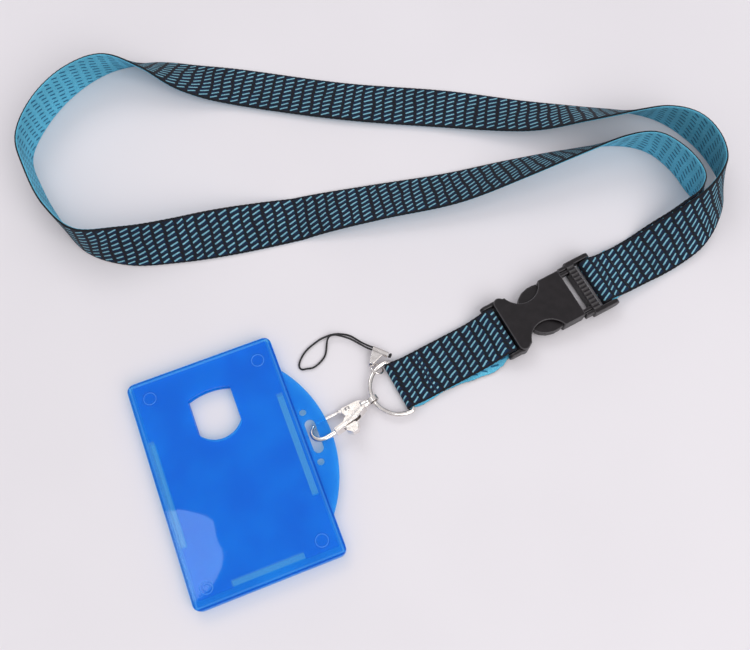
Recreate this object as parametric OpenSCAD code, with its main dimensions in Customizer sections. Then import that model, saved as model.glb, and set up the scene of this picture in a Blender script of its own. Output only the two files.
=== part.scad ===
// Lanyard: printed neck strap, side-release buckle, tail strap with a D-ring,
// phone loop, swivel clasp and a plastic card holder. All sizes in millimetres.

/* [Webbing] */
// Width of the webbing
web_width = 20; // [15:0.5:25]
// Thickness of one layer of webbing
web_thick = 1; // [0.8:0.1:1.4]
// Steps drawn between two route points
route_steps = 3; // [2:1:6]
// Length of one stitch
stitch_length = 1.9; // [1:0.1:3]
// Radius of the sewing thread
thread_radius = 0.3; // [0.2:0.05:0.5]

/* [Buckle] */
// Where the socket's strap slot stands, left to right
buckle_x = 52.4; // [40:0.1:60]
// Where the socket's strap slot stands, front to back
buckle_y = -10.15; // [-20:0.05:0]
// Direction the buckle points in, in degrees
buckle_turn = 28.5; // [0:0.5:90]
// Height of the closed buckle
buckle_height = 7.6; // [6:0.1:10]
// Radius of each bar the webbing goes round
strap_bar_radius = 1.5; // [1.2:0.1:2]
// Height of the strap bars above the table
strap_bar_z = 4; // [3.5:0.1:5]
// Length of the socket from the strap slot to the mouth
socket_length = 30.5; // [25:0.5:40]
// Half width of the mouth
mouth_half = 10.8; // [10:0.1:13]
// Radius of the cut that shapes the waist
waist_radius = 8.2; // [6:0.1:10]
// Radius of the round root of each latch arm
arm_root_radius = 1.1; // [0.8:0.05:1.5]
// Number of grip ribs on the plug
rib_count = 12; // [6:1:16]

/* [Tail strap] */
// Distance from the socket slot to the D-ring bar
tail_reach = 48.2; // [30:0.1:80]

/* [D-ring] */
// Radius of the D-ring wire
ring_wire = 0.95; // [0.7:0.05:1.4]
// Radius of the round side of the D-ring
ring_radius = 11.15; // [9:0.05:14]
// Tilt that lifts the round side of the D-ring, in degrees
ring_tilt = 3.5; // [0:0.5:10]

/* [Clasp] */
// Direction the clasp points in, in degrees
clasp_turn = 212; // [180:1:240]
// Roll of the clasp about its own length, in degrees
clasp_roll = 31; // [0:1:60]
// Height of the swivel axis
clasp_z = 3.2; // [2.5:0.1:5]
// Radius of the hook wire
hook_wire = 0.95; // [0.8:0.05:1.3]
// Radius of the swivel shaft
swivel_radius = 0.8; // [0.6:0.05:1.2]
// Radius of the trigger pin
pin_radius = 0.5; // [0.4:0.05:1]
// Radius of the gate rod
gate_radius = 0.65; // [0.5:0.05:1]

/* [Phone loop] */
// Diameter of the cord
cord_thick = 0.8; // [0.8:0.1:1.6]
// Radius of the small ring, to the middle of its wire
link_radius = 2.6; // [2:0.1:4]
// Radius of the wire of the small ring
link_wire = 0.4; // [0.3:0.05:0.6]
// Lean of the small ring out of the flat, in degrees
link_lean = 40; // [35:1:90]

/* [Card holder] */
// Width of the holder
card_width = 59; // [58:0.5:70]
// Length of the holder
card_length = 90.5; // [88:0.5:100]
// Thickness of the holder with its raised rim
card_thick = 5; // [4:0.1:6]
// Corner radius of the holder
card_corner = 3; // [1:0.5:5]
// Turn of the holder on the table, in degrees
card_turn = 21.2; // [0:0.1:45]
// Wall below the card and rim height
card_skin = 1.3; // [1:0.1:2]
// How far the arched tab stands out past the side
tab_reach = 10; // [8:0.5:14]
// Thickness of the arched tab
tab_thick = 1.6; // [1.2:0.1:2.4]

/* [Hidden] */
$fn = 40;
// Clearance between a pin and its bore
fit_gap = 0.05;
// Clearance between webbing and the bar it goes round
web_gap = 0.15;
// Middle line of webbing wrapped round a bar
wrap_radius = strap_bar_radius + web_gap + web_thick / 2;
// Shift that puts the whole lanyard over the middle of the frame
middle = [0.55, -0.4, 0];
// Bar at the far end of the plug, measured from the socket slot
plug_bar_x = 43;
// Bar at the tail end of the socket
tail_bar_x = -3;
// Height of the D-ring bar inside the tail fold
ring_z = 2.15;
// Middle of the D-ring bar in the buckle's frame
ring_x = -tail_reach;
// Middle of the round side of the D-ring from its bar
ring_back = 1.1;
// Holder centre on the table
card_x = -53.7;
card_y = -66.2;
// Clasp eye centre on the table
clasp_x = -0.88;
clasp_y = -39.1;
// Underside of the tab
tab_z = 2.6;
// Middle of the round part of the hook, in the clasp's frame
hook_x = 22.9;
hook_y = 0.2;
hook_radius = 4.4;
// How far the hook turns past its far point, in degrees
hook_end = 60;
// Trigger pin, in the clasp's frame
pivot_x = 10.4;
pivot_y = -1.8;
// Radius of the arched tab
tab_radius = 50;
// Card space inside the holder
slot_width = 54.6;
slot_height = 1.8;

// Neck strap route: x, y, lean of the webbing in degrees, height of the lower edge
neck_route = [
  [96, 13.5, 0, 3.4],
  [102, 16.7, 0, 2.4],
  [112, 22, 0, 1.3],
  [121, 27, 12, 1.2],
  [131, 33, 32, 2],
  [139, 41, 54, 2.8],
  [144, 50, 68, 2.4],
  [146, 60, 82, 0.6],
  [143, 71, 90, 0],
  [136, 80, 90, 0],
  [125, 86, 76, 0],
  [112, 88, 60, 0],
  [90, 88, 40, 0],
  [66, 89, 18, 0],
  [30, 94, 5, 0],
  [-15, 98, 5, 0],
  [-60, 105, 6, 0],
  [-82, 108, 20, 0],
  [-100, 112, 48, 0],
  [-118, 112, 76, 0],
  [-133, 103, 88, 0],
  [-144, 88, 92, 0],
  [-149, 70, 90, 0],
  [-143, 54, 92, 0],
  [-133, 38, 94, 0],
  [-120, 26, 86, 0],
  [-102, 24, 62, 0],
  [-82, 27, 48, 0],
  [-60, 33, 24, 0],
  [-30, 41, -2, 0],
  [0, 47, -15, 0],
  [32, 53, -22, 0],
  [60, 61, -38, 0],
  [84, 68, -55, 0],
  [104, 73, -70, 0],
  [118, 72, -83, 0],
  [128, 64, -90, 0],
  [134, 54, -92, 0],
  [136, 47, -76, 0],
  [134.5, 40, -52, 0],
  [128, 33, -30, 0],
  [119, 27.5, -10, 0],
  [110, 22, 0, 0],
  [102, 17, 0, 1.2],
  [98, 15, 0, 1.2],
];

// Fold of the neck strap under and round the plug bar: distance along the buckle, height
fold_route = [
  [55.5, 0.5],
  [50, 0.5],
  [47, 0.8],
];

// Phone cord route: x, y and height of the middle of the cord
cord_route = [
  [-0.3, -17.7, 2.9],
  [-2.8, -16.6, 2.5],
  [-6, -14.6, 1.4],
  [-9.7, -12.1, 0.7],
  [-13, -11.2, 0.6],
  [-16.6, -11.2, 0.6],
  [-20, -12.3, 0.6],
  [-23, -14, 0.6],
  [-27.3, -17.8, 0.6],
  [-29.6, -21.5, 0.6],
  [-30.3, -24.5, 0.6],
  [-29.3, -26, 0.6],
  [-27.3, -25.8, 0.6],
  [-24.3, -25.1, 0.6],
  [-21.2, -22.2, 0.6],
  [-19.8, -19.3, 0.6],
  [-19.3, -14.6, 1.3],
  [-18.4, -12.6, 2],
  [-16.5, -12, 2.2],
  [-14.2, -12.3, 2.2],
  [-10, -13.7, 2.2],
  [-6, -16, 2.5],
  [-3.2, -17.6, 2.7],
  [-0.7, -18.7, 2.9],
];

web_black = [0.07, 0.08, 0.11];
plastic_black = [0.1, 0.1, 0.11];
nickel = [0.82, 0.81, 0.79];
holder_blue = [0.05, 0.36, 0.85];

// Smooth curve through four values at a fraction of the way from b to c
function blend4(a, b, c, d, t) =
  0.5 * (2 * b + (c - a) * t + (2 * a - 5 * b + 4 * c - d) * t * t + (3 * b - a - 3 * c + d) * t * t * t);

// Route with extra points between the given ones
function smooth(p, n) = concat(
  [for (i = [0 : len(p) - 2]) for (k = [0 : n - 1])
    blend4(
      i > 0 ? p[i - 1] : 2 * p[0] - p[1],
      p[i],
      p[i + 1],
      i + 2 < len(p) ? p[i + 2] : 2 * p[i + 1] - p[i],
      k / n
    )],
  [p[len(p) - 1]]
);

function unit(v) = v / norm(v);

// Direction of travel on the table at point i of a route
function heading(p, i) =
  let (a = p[max(i - 1, 0)], b = p[min(i + 1, len(p) - 1)])
  unit([b[0] - a[0], b[1] - a[1]]);

// Middle of the webbing and the direction across it at point i of a leaning route
function lean_ring(p, i) =
  let (h = heading(p, i), s = sin(p[i][2]), c = cos(p[i][2]))
  [
    middle + [p[i][0], p[i][1], max(p[i][3], 0) + web_width / 2 * abs(s) + web_thick / 2 * abs(c)],
    [-h[1] * c, h[0] * c, s]
  ];

// Point of the buckle's frame on the table
function on_buckle(x, y, z) = middle + [
  buckle_x + x * cos(buckle_turn) - y * sin(buckle_turn),
  buckle_y + x * sin(buckle_turn) + y * cos(buckle_turn),
  z
];

across_buckle = [-sin(buckle_turn), cos(buckle_turn), 0];

// Rings of the fold: flat tail, half turn round the plug bar, then the climb down
fold_rings = concat(
  [for (p = fold_route) [on_buckle(p[0], 0, p[1]), across_buckle]],
  [for (a = [-90 : 15 : 90])
    [
      on_buckle(plug_bar_x - wrap_radius * cos(a), 0, strap_bar_z + wrap_radius * sin(a)),
      across_buckle
    ]]
);

neck_points = smooth(neck_route, route_steps);
neck_rings = concat(fold_rings, [for (i = [0 : len(neck_points) - 1]) lean_ring(neck_points, i)]);

// Four corners of the webbing at ring i
function web_corners(r, i) =
  let (
    a = r[max(i - 1, 0)][0],
    b = r[min(i + 1, len(r) - 1)][0],
    u = r[i][1],
    n = unit(cross(b - a, u)),
    w = u * web_width / 2,
    t = n * web_thick / 2,
    c = r[i][0]
  )
  [c - w - t, c + w - t, c + w + t, c - w + t];

// Ribbon of webbing through a list of rings
module webbing(rings) {
  last = len(rings) - 1;
  points = [for (i = [0 : last]) each web_corners(rings, i)];
  sides = [for (i = [0 : last - 1]) for (k = [0 : 3]) each [
    [4 * i + k, 4 * i + 4 + k, 4 * i + 4 + (k + 1) % 4],
    [4 * i + k, 4 * i + 4 + (k + 1) % 4, 4 * i + (k + 1) % 4]
  ]];
  ends = [
    [0, 1, 2],
    [0, 2, 3],
    [4 * last, 4 * last + 2, 4 * last + 1],
    [4 * last, 4 * last + 3, 4 * last + 2]
  ];
  polyhedron(points, concat(sides, ends), convexity = 10);
}

// Round cord through a list of points
module cord(route, thick, sides) {
  last = len(route) - 1;
  points = [for (i = [0 : last]) each
    let (
      d = unit(route[min(i + 1, last)] - route[max(i - 1, 0)]),
      s = unit(cross([0, 0, 1], d)),
      u = cross(d, s)
    )
    [for (k = [0 : sides - 1])
      route[i] + thick / 2 * (s * cos(360 * k / sides) + u * sin(360 * k / sides))]
  ];
  skin = [for (i = [0 : last - 1]) for (k = [0 : sides - 1]) each [
    [sides * i + k, sides * i + sides + k, sides * i + sides + (k + 1) % sides],
    [sides * i + k, sides * i + sides + (k + 1) % sides, sides * i + (k + 1) % sides]
  ]];
  caps = [
    [for (k = [0 : sides - 1]) k],
    [for (k = [sides - 1 : -1 : 0]) sides * last + k]
  ];
  polyhedron(points, concat(skin, caps), convexity = 10);
}

// Places children in the buckle's frame
module at_buckle() {
  translate(middle + [buckle_x, buckle_y, 0])
    rotate([0, 0, buckle_turn])
      children();
}

// Places children in the clasp's frame: x along the clasp, y towards the thumb tab
module at_clasp() {
  translate(middle + [clasp_x, clasp_y, clasp_z])
    rotate([0, 0, clasp_turn])
      rotate([clasp_roll, 0, 0])
        children();
}

// Places children in the card holder's frame
module at_card() {
  translate(middle + [card_x, card_y, 0])
    rotate([0, 0, card_turn])
      children();
}

// Round bar along y
module bar_y(x, z, radius, half) {
  translate([x, half, z])
    rotate([90, 0, 0])
      cylinder(r = radius, h = 2 * half);
}

// Round bar along x
module bar_x(x, y, z, radius, length) {
  translate([x, y, z])
    rotate([0, 90, 0])
      cylinder(r = radius, h = length);
}

// Block given by its two corners
module block(a, b) {
  translate(a)
    cube(b - a);
}

// Flat slab with four round corners
module round_slab(width, length, corner, z0, z1) {
  w = width / 2;
  l = length / 2;
  block([-w + corner, -l, z0], [w - corner, l, z1]);
  block([-w, -l + corner, z0], [w, l - corner, z1]);
  for (x = [-1, 1])
    for (y = [-1, 1])
      translate([x * (w - corner), y * (l - corner), z0])
        cylinder(r = corner, h = z1 - z0);
}

module neck_strap() {
  color(web_black)
    webbing(neck_rings);
}

// Row of stitches through the strap layers
module stitch_row(x, z0, z1, half) {
  step = 2 * half / 6;
  for (k = [0 : 5])
    translate([x - thread_radius, -half + (k + 0.5) * step - stitch_length / 2, z0])
      cube([2 * thread_radius, stitch_length, z1 - z0]);
}

module neck_strap_stitching() {
  color(web_black)
    at_buckle()
      stitch_row(53.6, 0.02, 3.95, 8.6);
}

module grip_ribs() {
  step = 20 / (rib_count - 1);
  for (k = [0 : rib_count - 1])
    bar_x(34.9, -10 + k * step, 6.4, 0.5, 3.1);
}

module plug_side() {
  block([34.7, 10.4, 1.5], [44, 12.4, 6.5]);
  translate([44, 10.4, 4])
    rotate([-90, 0, 0])
      cylinder(r = 2.5, h = 2);
  block([31.2, 10, 2], [35, 11.6, 6.2]);
  block([34.7, 9.5, 1.5], [38.2, 11, 6.5]);
}

// Bore and way out for the root of a latch arm
module arm_seat() {
  translate([36.4, 8.9, 2.35])
    cylinder(r = arm_root_radius + fit_gap, h = 3.5);
  block([34, 7.85, 2.35], [36.4, 9.75, 5.85]);
}

module buckle_plug() {
  color(plastic_black)
    at_buckle()
      difference() {
        union() {
          bar_y(plug_bar_x, strap_bar_z, strap_bar_radius, 11.5);
          block([34.7, -11, 1], [38.2, 11, 6.4]);
          grip_ribs();
          plug_side();
          mirror([0, 1, 0])
            plug_side();
        }
        arm_seat();
        mirror([0, 1, 0])
          arm_seat();
      }
}

module latch_arm() {
  outline = [
    [36.4, 9.65], [20.8, 9.65], [20.4, 9.7], [20.4, 10.3], [18.4, 10.6], [16, 10.6],
    [13, 9.8], [10.6, 8.2], [9.3, 6.4], [9, 5], [9.8, 4.5], [13.5, 4.4],
    [17, 5.1], [19.4, 6.5], [21, 8.1], [36.4, 8.1],
  ];
  translate([0, 0, 2.4])
    linear_extrude(3.4)
      polygon(outline);
  translate([36.4, 8.9, 2.4])
    cylinder(r = arm_root_radius, h = 3.4);
}

module latch_arm_left() {
  color(plastic_black)
    at_buckle()
      latch_arm();
}

module latch_arm_right() {
  color(plastic_black)
    at_buckle()
      mirror([0, 1, 0])
        latch_arm();
}

// Waist cut on the +y side, down through the whole socket
module waist_cut() {
  translate([13.2, 13.2, -1])
    cylinder(r = waist_radius, h = buckle_height + 2);
}

module socket_outline(z0, z1) {
  block([2.4, -mouth_half, z0], [socket_length, mouth_half, z1]);
  block([0, -9.6, z0], [4, 9.6, z1]);
  for (s = [-1, 1])
    translate([2.4, s * 9.6, z0])
      cylinder(r = 2.4, h = z1 - z0);
}

module buckle_socket() {
  color(plastic_black)
    at_buckle()
      difference() {
        union() {
          socket_outline(0.4, buckle_height);
          bar_y(tail_bar_x, strap_bar_z, strap_bar_radius, 11.2);
          block([-3, -12, 1.9], [2.6, -10.4, 6.1]);
          block([-3, 10.4, 1.9], [2.6, 12, 6.1]);
          for (s = [-1, 1])
            translate([-3, s * 11.2 - 0.8, 4])
              rotate([-90, 0, 0])
                cylinder(r = 2.1, h = 1.6);
        }
        block([7.5, -9.85, 1.9], [socket_length + 1, 9.85, 6.2]);
        waist_cut();
        mirror([0, 1, 0])
          waist_cut();
      }
}

module tail_strap() {
  fold_out = ring_wire + 0.1 + web_thick;
  color(web_black)
    at_buckle()
      translate([0, web_width / 2, 0])
        rotate([90, 0, 0])
          linear_extrude(web_width)
            difference() {
              union() {
                translate([tail_bar_x, strap_bar_z])
                  circle(r = strap_bar_radius + 0.1 + web_thick);
                translate([ring_x, ring_z])
                  circle(r = fold_out);
                polygon([
                  [tail_bar_x, strap_bar_z + 2.5], [-6, 5.6], [-12, 2.6], [-16, 2.3],
                  [-43, 2.3], [ring_x, ring_z + fold_out], [ring_x, ring_z - fold_out],
                  [-42, 0.3], [-13, 0.3], [-8, 0.9], [tail_bar_x, strap_bar_z - 2.5]
                ]);
              }
              translate([tail_bar_x, strap_bar_z])
                circle(r = strap_bar_radius + 0.1);
              polygon([[-3.6, 5.1], [-6, 4.4], [-11.5, 1.5], [-11.5, 1.35], [-8, 2], [-3.6, 2.9]]);
              translate([ring_x, ring_z])
                circle(r = ring_wire + 0.1);
              polygon([[ring_x + 0.4, 3.05], [-43.5, 1.4], [-43.5, 1.2], [ring_x + 0.4, 1.3]]);
            }
}

module tail_strap_stitching() {
  color(web_black)
    at_buckle()
      stitch_row(-36.7, 0.2, 2.4, 8.6);
}

module d_ring() {
  color(nickel)
    at_buckle()
      translate([ring_x, 0, ring_z])
        rotate([0, ring_tilt, 0]) {
          bar_y(0, 0, ring_wire, ring_radius - ring_back);
          for (s = [0, 1])
            mirror([0, s, 0])
              translate([-ring_back, ring_radius - ring_back, 0])
                rotate_extrude(angle = 90)
                  translate([ring_back, 0])
                    circle(r = ring_wire);
          translate([-ring_back, 0, 0])
            rotate([0, 0, 90])
              rotate_extrude(angle = 180)
                translate([ring_radius, 0])
                  circle(r = ring_wire);
        }
}

// Places children on the D-ring wire where the small ring hangs: x along that wire
module at_link() {
  translate(middle + [0.73, -26.28, 2.45])
    rotate([0, 0, 228.5])
      rotate([0, -link_lean, 0])
        children();
}

module phone_loop_link() {
  color(nickel)
    at_link()
      rotate_extrude()
        translate([link_radius, 0])
          circle(r = link_wire);
}

// Places children along the crimp: x from the cord end to the knot end
module at_crimp() {
  translate(middle + [-0.8, -18, 2.9])
    rotate([0, 0, -23.8])
      children();
}

module phone_loop_crimp() {
  color(nickel)
    difference() {
      union() {
        at_crimp()
          bar_x(0, 0, 0, 1.2, 6.6);
        translate(middle + [0, 0, 2.1])
          linear_extrude(1.4)
            polygon([[-1.2, -18.7], [3.2, -20.6], [1.4, -22.4], [-0.4, -24.2], [-2.2, -24.3]]);
        at_link()
          bar_x(-0.8, -link_radius, 0, 1.1, 1.6);
      }
      at_link()
        bar_x(-3, -link_radius, 0, link_wire + 0.2, 6);
    }
}

module phone_loop_cord() {
  color(plastic_black)
    translate(middle)
      cord(smooth(cord_route, 2), cord_thick, 8);
}

module phone_loop_knot() {
  color(plastic_black)
    at_crimp()
      translate([7.4, 0, 0])
        sphere(r = 1.1);
}

module clasp_swivel_eye() {
  color(nickel)
    at_clasp() {
      difference() {
        rotate([90 - clasp_roll, 0, 0])
          translate([0, 0, -1])
            cylinder(r = 2.35, h = 2);
        rotate([90 - clasp_roll, 0, 0])
          translate([0, 0, -2])
            cylinder(r = 1.55, h = 4);
      }
      bar_x(2, 0, 0, swivel_radius, 3.6);
      bar_x(2, 0, 0, 1.4, 0.8);
      bar_x(5, 0, 0, 1.2, 0.6);
    }
}

// Cheeks and spine of the clasp, seen from above
module clasp_plan() {
  polygon([
    [4.2, -2], [6, -3], [12.6, -3.6], [13.3, -1], [12.7, 1], [15, 3], [19.2, 3.5],
    [19.2, 5.7], [14, 5.4], [9, 4.6], [4.2, 2.2]
  ]);
}

module clasp_body() {
  color(nickel)
    at_clasp()
      difference() {
        union() {
          bar_x(2.9, 0, 0, 1.9, 2.2);
          translate([0, 0, -1.4])
            linear_extrude(2.8)
              clasp_plan();
          bar_x(18, hook_y + hook_radius, 0, hook_wire + 0.05, hook_x - 18);
          translate([hook_x, hook_y, 0])
            rotate([0, 0, -hook_end])
              rotate_extrude(angle = 95 + hook_end)
                translate([hook_radius, 0])
                  circle(r = hook_wire);
          translate([
            hook_x + hook_radius * cos(hook_end),
            hook_y - hook_radius * sin(hook_end),
            0
          ])
            sphere(r = hook_wire + 0.05);
        }
        bar_x(2, 0, 0, swivel_radius + fit_gap, 3.9);
        bar_x(4.9, 0, 0, 1.2 + fit_gap, 0.8);
        block([7.6, -5, -0.75], [15.6, 7, 0.75]);
        translate([pivot_x, pivot_y, -2])
          cylinder(r = pin_radius, h = 4);
      }
}

module clasp_trigger() {
  color(nickel)
    at_clasp()
      difference() {
        union() {
          translate([0, 0, -0.6])
            linear_extrude(1.2)
              polygon([
                [9, -2.6], [10.2, -3.2], [13.6, -4.2], [14.4, -4], [14.4, -2.9], [11.9, -1.6],
                [13.6, 5.8], [11.4, 5.8], [9.2, -0.8]
              ]);
          translate([0, 0, -1.1])
            linear_extrude(2.2)
              polygon([
                [10.6, 5.6], [14.8, 5.6], [15.5, 7.6], [14, 10.1], [11.5, 10.1], [9.9, 7.6]
              ]);
          gate_rod();
        }
        translate([pivot_x, pivot_y, -1])
          cylinder(r = pin_radius + fit_gap, h = 2);
        translate([pivot_x, pivot_y, 0.1])
          cylinder(r = 1.15, h = 1);
      }
}

// Gate rod from the trigger to the tip of the hook
module gate_rod() {
  translate([13.6, -3.5, 0])
    rotate([0, 0, -6.5]) {
      rotate([0, 90, 0])
        cylinder(r = gate_radius, h = 9.7);
      translate([9.7, 0, 0])
        sphere(r = gate_radius);
    }
}

module clasp_trigger_pin() {
  color(nickel)
    at_clasp()
      translate([pivot_x, pivot_y, 0]) {
        translate([0, 0, -1.4])
          cylinder(r = pin_radius, h = 2.8);
        translate([0, 0, 1.4])
          cylinder(r = 1.1, h = 0.2);
      }
}

module clasp_spring() {
  color(nickel)
    at_clasp()
      translate([pivot_x, pivot_y, 0.42])
        rotate_extrude()
          translate([0.85, 0])
            circle(r = 0.15);
}

// Plan of the thumb hole
module thumb_plan() {
  translate([-8.6, 17])
    square([17.2, 14.5]);
  intersection() {
    translate([0, 22.7])
      circle(r = 10.3, $fn = 80);
    translate([-8.6, 10])
      square([17.2, 8]);
  }
  intersection() {
    translate([0, 7.6])
      circle(r = 25.4, $fn = 120);
    translate([-8.6, 31])
      square([17.2, 4]);
  }
}

module tab_plan() {
  intersection() {
    translate([card_width / 2 + tab_reach - tab_radius, 0])
      circle(r = tab_radius, $fn = 160);
    translate([card_width / 2 - 1.5, -35])
      square([tab_reach + 3, 70]);
  }
}

// Openings in the arched tab: the long slot and two round holes
module tab_holes() {
  translate([32.7, 0.7, 0]) {
    block([-2, -5, 0], [2, 5, card_thick + 2]);
    for (y = [-5, 5])
      translate([0, y, 0])
        cylinder(r = 2, h = card_thick + 2);
  }
  for (p = [[31.7, 11], [31.7, -9.6]])
    translate([p[0], p[1], 0])
      cylinder(r = 1.4, h = card_thick + 2);
}

module card_holder() {
  color(holder_blue)
    at_card()
      difference() {
        union() {
          round_slab(card_width, card_length, card_corner, 0, card_thick - 0.4);
          difference() {
            round_slab(card_width, card_length, card_corner, card_thick - 1, card_thick);
            round_slab(card_width - 2.4, card_length - 2.4, card_corner - 1, 0, card_thick + 1);
          }
          translate([0, 0, tab_z])
            linear_extrude(tab_thick)
              tab_plan();
        }
        block([-slot_width / 2, -41.3, card_skin], [slot_width / 2, 50, card_skin + slot_height]);
        translate([0, 0, -1])
          linear_extrude(card_thick + 2)
            thumb_plan();
        block([-27.9, -21.3, -1], [-25.5, 20.9, card_skin + 0.1]);
        block([24.4, -20.5, -1], [26.9, 21.5, card_skin + 0.1]);
        block([-14, -41.2, -1], [14.2, -38.8, card_skin + 0.1]);
        for (p = [[-22, 37.5], [22, -37.5]])
          translate([p[0], p[1], card_thick - 0.6])
            difference() {
              cylinder(r = 2.9, h = 1);
              cylinder(r = 2.4, h = 1);
            }
        tab_holes();
      }
}

neck_strap();
neck_strap_stitching();
buckle_plug();
latch_arm_left();
latch_arm_right();
buckle_socket();
tail_strap();
tail_strap_stitching();
d_ring();
phone_loop_link();
phone_loop_crimp();
phone_loop_cord();
phone_loop_knot();
clasp_swivel_eye();
clasp_body();
clasp_trigger();
clasp_trigger_pin();
clasp_spring();
card_holder();
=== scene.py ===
"""Looks of the lanyard: printed webbing, buckle, metal fittings, phone loop and card holder.

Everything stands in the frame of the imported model. Lengths are in millimetres until a mesh
or an object is made from them.
"""

import math

import bpy
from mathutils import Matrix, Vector


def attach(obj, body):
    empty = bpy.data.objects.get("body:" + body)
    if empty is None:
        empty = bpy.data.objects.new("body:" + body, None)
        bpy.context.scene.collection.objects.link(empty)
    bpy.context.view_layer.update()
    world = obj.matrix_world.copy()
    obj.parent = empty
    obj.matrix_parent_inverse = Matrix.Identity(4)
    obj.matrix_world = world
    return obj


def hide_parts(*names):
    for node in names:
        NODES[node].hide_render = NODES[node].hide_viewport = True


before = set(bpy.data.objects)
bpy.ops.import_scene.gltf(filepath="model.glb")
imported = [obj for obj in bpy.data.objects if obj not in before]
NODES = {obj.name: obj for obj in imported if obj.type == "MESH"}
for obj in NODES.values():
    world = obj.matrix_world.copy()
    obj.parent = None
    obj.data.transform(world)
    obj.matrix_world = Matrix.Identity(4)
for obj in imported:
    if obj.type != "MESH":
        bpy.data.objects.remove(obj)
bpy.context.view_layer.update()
MM = 0.001

# ---------------------------------------------------------------- frame values
MIDDLE = Vector((0.55, -0.4, 0))
BUCKLE = Vector((52.4, -10.15, 0))
BUCKLE_TURN = math.radians(28.5)
WEB_WIDTH = 20.0
WEB_THICK = 1.0
WEB_EDGE = 0.5
RING_STEP = 0.5
STITCH_COUNT = 12
STITCH_HALF = 9.0
# Woven pattern: pitch along and across the strap, half width of its rows, slant of a dash
PATTERN_ALONG = 4.55
PATTERN_ACROSS = 2.32
PATTERN_HALF = 9.28
PATTERN_SLANT = math.radians(27)
PLUG_BAR = (43.0, 4.0, 2.15)
SOCKET_BAR = (-3.0, 4.0, 2.1)
RING_BAR = (-48.2, 2.15, 1.55)
NECK_SEAM = 53.6
TAIL_SEAM = -36.7
CORD_THICK = 0.8
WELD_GAP = 0.002

# Neck strap route: x, y, lean of the webbing in degrees, height of the lower edge
NECK_ROUTE = [
    (96, 13.5, 0, 3.4), (102, 16.7, 0, 2.4), (112, 22, 0, 1.3), (121, 27, 12, 1.2),
    (131, 33, 32, 2), (139, 41, 54, 2.8), (144, 50, 68, 2.4), (146, 60, 82, 0.6),
    (143, 71, 90, 0), (136, 80, 90, 0), (125, 86, 76, 0), (112, 88, 60, 0),
    (90, 88, 40, 0), (66, 89, 18, 0), (30, 94, 5, 0), (-15, 98, 5, 0),
    (-60, 105, 6, 0), (-82, 108, 20, 0), (-100, 112, 48, 0), (-118, 112, 76, 0),
    (-133, 103, 88, 0), (-144, 88, 92, 0), (-149, 70, 90, 0), (-143, 54, 92, 0),
    (-133, 38, 94, 0), (-120, 26, 86, 0), (-102, 24, 62, 0), (-82, 27, 48, 0),
    (-60, 33, 24, 0), (-30, 41, -2, 0), (0, 47, -15, 0), (32, 53, -22, 0),
    (60, 61, -38, 0), (84, 68, -55, 0), (104, 73, -70, 0), (118, 72, -83, 0),
    (128, 64, -90, 0), (134, 54, -92, 0), (136, 47, -76, 0), (134.5, 40, -52, 0),
    (128, 33, -30, 0), (119, 27.5, -10, 0), (110, 22, 0, 0), (102, 17, 0, 1.2),
    (98, 15, 0, 1.2),
]
# Fold of the neck strap under the plug bar: distance along the buckle, height
FOLD_IN = [(55.5, 0.5), (52, 0.5), (49.5, 0.52), (47, 0.8), (45, 1.45)]
# The way down again above the bar
FOLD_OUT = [(44.6, 6.05), (46.6, 5.25)]
# Tail strap seen from the side: bottom layer to the D-ring, top layer, bottom layer again
TAIL_START = [(-34.3, 0.75), (-39, 0.75), (-43, 0.72), (-45.6, 0.62)]
TAIL_TOP = [
    (-46.6, 3.42), (-44.6, 2.6), (-42.4, 1.98), (-39, 1.86), (-30, 1.86), (-20, 1.86),
    (-15.5, 1.9), (-12.4, 2.3), (-9, 3.75), (-6.3, 5.25), (-4.6, 5.95),
]
TAIL_END = [(-5, 1.75), (-8, 1.15), (-11.5, 0.8), (-16, 0.75), (-25, 0.75), (-33.9, 0.75)]
# How far the lower layer of the tail strap slips out sideways: along the buckle, sideways
TAIL_SLIP = [
    (-48.2, 0), (-44, -0.7), (-40, -0.5), (-34, 0), (-28, -0.4), (-20, -1.7), (-12.5, -2.7),
    (-8.5, -2.2), (-5, -0.8), (-3, 0),
]
# Phone cord route: x, y and height of the middle of the cord
CORD_ROUTE = [
    (-0.3, -17.7, 2.9), (-2.8, -16.6, 2.5), (-6, -14.6, 1.4), (-9.7, -12.1, 0.7),
    (-13, -11.2, 0.6), (-16.6, -11.2, 0.6), (-20, -12.3, 0.6), (-23, -14, 0.6),
    (-27.3, -17.8, 0.6), (-29.6, -21.5, 0.6), (-30.3, -24.5, 0.6), (-29.3, -26, 0.6),
    (-27.3, -25.8, 0.6), (-24.3, -25.1, 0.6), (-21.2, -22.2, 0.6), (-19.8, -19.3, 0.6),
    (-19.3, -14.6, 1.3), (-18.4, -12.6, 2), (-16.5, -12, 2.2), (-14.2, -12.3, 2.2),
    (-10, -13.7, 2.2), (-6, -16, 2.5), (-3.2, -17.6, 2.7), (-0.7, -18.7, 2.9),
]
KNOT_CENTRE = Vector((-0.8, -18, 2.9)) + 7.4 * Vector(
    (math.cos(math.radians(-23.8)), math.sin(math.radians(-23.8)), 0)
)
# Card holder: middle, turn, half width and half length, round marks on its front
HOLDER = Vector((-53.7, -66.2, 0))
HOLDER_TURN = math.radians(21.2)
HOLDER_SIZE = (29.5, 45.25)
EJECTOR_MARKS = [(-22, 37.5), (22.2, 37.2), (22, -37.5)]
ROUND_MARK = (-23, -38)
MARK_RADIUS = 2.4
MARK_HEIGHT = 4.62


# Half the table's side
FLOOR_HALF = 20000
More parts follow.
